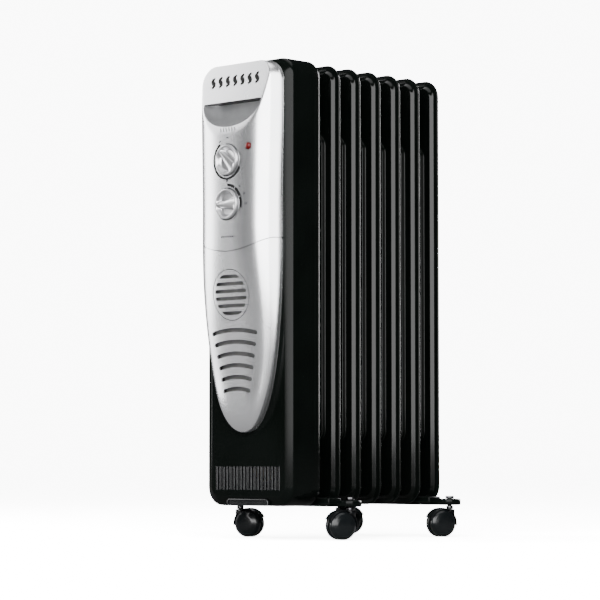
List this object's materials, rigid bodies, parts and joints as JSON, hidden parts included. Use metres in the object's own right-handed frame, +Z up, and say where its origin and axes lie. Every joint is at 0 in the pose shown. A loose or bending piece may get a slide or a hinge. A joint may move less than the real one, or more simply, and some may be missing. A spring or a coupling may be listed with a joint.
{
  "type": "oil filled radiator heater",
  "caption": "Tall free-standing oil filled radiator: pressed black fins behind a silver control fascia with two dials, on brackets with twin-wheel casters.",
  "frame": {"origin": "centre of the footprint's bounding box on the floor, under the wheels", "axes": "+Z up, -Y is the front with the fascia and the knobs, +X is to the viewer's right when facing the fascia"},
  "size_m": [0.236, 0.3558, 0.635],
  "materials": {
    "black_enamel": "high gloss black stove enamel",
    "silver_paint": "satin metallic silver lacquer on moulded panels",
    "silver_knob": "satin silver plastic",
    "grey_plastic": "charcoal grey recess moulding",
    "black_plastic": "glossy black nylon",
    "wheel_plastic": "glossy black wheel moulding",
    "dark_plastic": "dark phenolic",
    "bare_steel": "bright zinc plated steel",
    "plated_zinc": "zinc plated pressed steel",
    "brass": "machined brass",
    "red_lens": "clear red moulded lens",
    "clear_glass": "neon indicator glass",
    "white_ceramic": "glazed ceramic"
  },
  "bodies": {
    "frame": {"fin_1": "black_enamel", "fin_2": "black_enamel", "fin_3": "black_enamel", "fin_4": "black_enamel", "fin_5": "black_enamel", "fin_6": "black_enamel", "fin_7": "black_enamel", "housing": "black_enamel", "heat_shield": "plated_zinc", "fascia_upper": "silver_paint", "fascia_lower": "silver_paint", "grab_cup": "grey_plastic", "round_grille": "silver_paint", "pilot_lens": "red_lens", "pilot_lamp": "clear_glass", "thermostat": "dark_plastic", "power_switch": "dark_plastic", "control_bracket": "plated_zinc", "heating_element": "bare_steel", "element_flange": "brass", "terminal_block": "white_ceramic", "thermal_cutout": "black_plastic", "cord_bush": "black_plastic", "oil_filler_plug": "plated_zinc", "foot_bracket_front": "black_enamel", "u_bolt_front": "plated_zinc", "clamp_nut_front_left": "plated_zinc", "clamp_nut_front_right": "plated_zinc", "foot_bracket_rear": "black_enamel", "u_bolt_rear": "plated_zinc", "clamp_nut_rear_left": "plated_zinc", "clamp_nut_rear_right": "plated_zinc", "caster_front_left_stem": "bare_steel", "caster_front_left_nut": "bare_steel", "caster_front_right_stem": "bare_steel", "caster_front_right_nut": "bare_steel", "caster_rear_left_stem": "bare_steel", "caster_rear_left_nut": "bare_steel", "caster_rear_right_stem": "bare_steel", "caster_rear_right_nut": "bare_steel"},
    "thermostat_dial": {"thermostat_knob": "silver_knob", "thermostat_spindle": "plated_zinc"},
    "power_dial": {"power_knob": "silver_knob", "power_spindle": "plated_zinc"},
    "caster_front_left": {"caster_front_left_hood": "black_plastic", "caster_front_left_axle": "bare_steel"},
    "caster_front_left_wheel_a": {"caster_front_left_wheel_a": "wheel_plastic"},
    "caster_front_left_wheel_b": {"caster_front_left_wheel_b": "wheel_plastic"},
    "caster_front_right": {"caster_front_right_hood": "black_plastic", "caster_front_right_axle": "bare_steel"},
    "caster_front_right_wheel_a": {"caster_front_right_wheel_a": "wheel_plastic"},
    "caster_front_right_wheel_b": {"caster_front_right_wheel_b": "wheel_plastic"},
    "caster_rear_left": {"caster_rear_left_hood": "black_plastic", "caster_rear_left_axle": "bare_steel"},
    "caster_rear_left_wheel_a": {"caster_rear_left_wheel_a": "wheel_plastic"},
    "caster_rear_left_wheel_b": {"caster_rear_left_wheel_b": "wheel_plastic"},
    "caster_rear_right": {"caster_rear_right_hood": "black_plastic", "caster_rear_right_axle": "bare_steel"},
    "caster_rear_right_wheel_a": {"caster_rear_right_wheel_a": "wheel_plastic"},
    "caster_rear_right_wheel_b": {"caster_rear_right_wheel_b": "wheel_plastic"}
  },
  "joints": [
    {"name": "thermostat_turn", "type": "hinge", "parent": "frame", "child": "thermostat_dial", "pos_m": [0, -0.17455, 0.5], "axis": [0, 1, 0], "range_deg": [-15, 225]},
    {"name": "power_turn", "type": "hinge", "parent": "frame", "child": "power_dial", "pos_m": [0, -0.17455, 0.4415], "axis": [0, 1, 0], "range_deg": [-90, 30]},
    {"name": "caster_front_left_swivel", "type": "hinge", "parent": "frame", "child": "caster_front_left", "pos_m": [-0.103, -0.04755, 0.036], "axis": [0, 0, 1], "continuous": true},
    {"name": "caster_front_left_wheel_a_spin", "type": "hinge", "parent": "caster_front_left", "child": "caster_front_left_wheel_a", "pos_m": [-0.08983, -0.04279, 0.0188], "axis": [0.3401, -0.9404, 0], "continuous": true},
    {"name": "caster_front_left_wheel_b_spin", "type": "hinge", "parent": "caster_front_left", "child": "caster_front_left_wheel_b", "pos_m": [-0.08983, -0.04279, 0.0188], "axis": [0.3401, -0.9404, 0], "continuous": true},
    {"name": "caster_front_right_swivel", "type": "hinge", "parent": "frame", "child": "caster_front_right", "pos_m": [0.103, -0.04755, 0.036], "axis": [0, 0, 1], "continuous": true},
    {"name": "caster_front_right_wheel_a_spin", "type": "hinge", "parent": "caster_front_right", "child": "caster_front_right_wheel_a", "pos_m": [0.09824, -0.06071, 0.0188], "axis": [-0.9404, 0.3401, 0], "continuous": true},
    {"name": "caster_front_right_wheel_b_spin", "type": "hinge", "parent": "caster_front_right", "child": "caster_front_right_wheel_b", "pos_m": [0.09824, -0.06071, 0.0188], "axis": [-0.9404, 0.3401, 0], "continuous": true},
    {"name": "caster_rear_left_swivel", "type": "hinge", "parent": "frame", "child": "caster_rear_left", "pos_m": [-0.103, 0.15245, 0.036], "axis": [0, 0, 1], "continuous": true},
    {"name": "caster_rear_left_wheel_a_spin", "type": "hinge", "parent": "caster_rear_left", "child": "caster_rear_left_wheel_a", "pos_m": [-0.08983, 0.15721, 0.0188], "axis": [0.3401, -0.9404, 0], "continuous": true},
    {"name": "caster_rear_left_wheel_b_spin", "type": "hinge", "parent": "caster_rear_left", "child": "caster_rear_left_wheel_b", "pos_m": [-0.08983, 0.15721, 0.0188], "axis": [0.3401, -0.9404, 0], "continuous": true},
    {"name": "caster_rear_right_swivel", "type": "hinge", "parent": "frame", "child": "caster_rear_right", "pos_m": [0.103, 0.15245, 0.036], "axis": [0, 0, 1], "continuous": true},
    {"name": "caster_rear_right_wheel_a_spin", "type": "hinge", "parent": "caster_rear_right", "child": "caster_rear_right_wheel_a", "pos_m": [0.09824, 0.13928, 0.0188], "axis": [-0.9404, 0.3401, 0], "continuous": true},
    {"name": "caster_rear_right_wheel_b_spin", "type": "hinge", "parent": "caster_rear_right", "child": "caster_rear_right_wheel_b", "pos_m": [0.09824, 0.13928, 0.0188], "axis": [-0.9404, 0.3401, 0], "continuous": true}
  ]
}
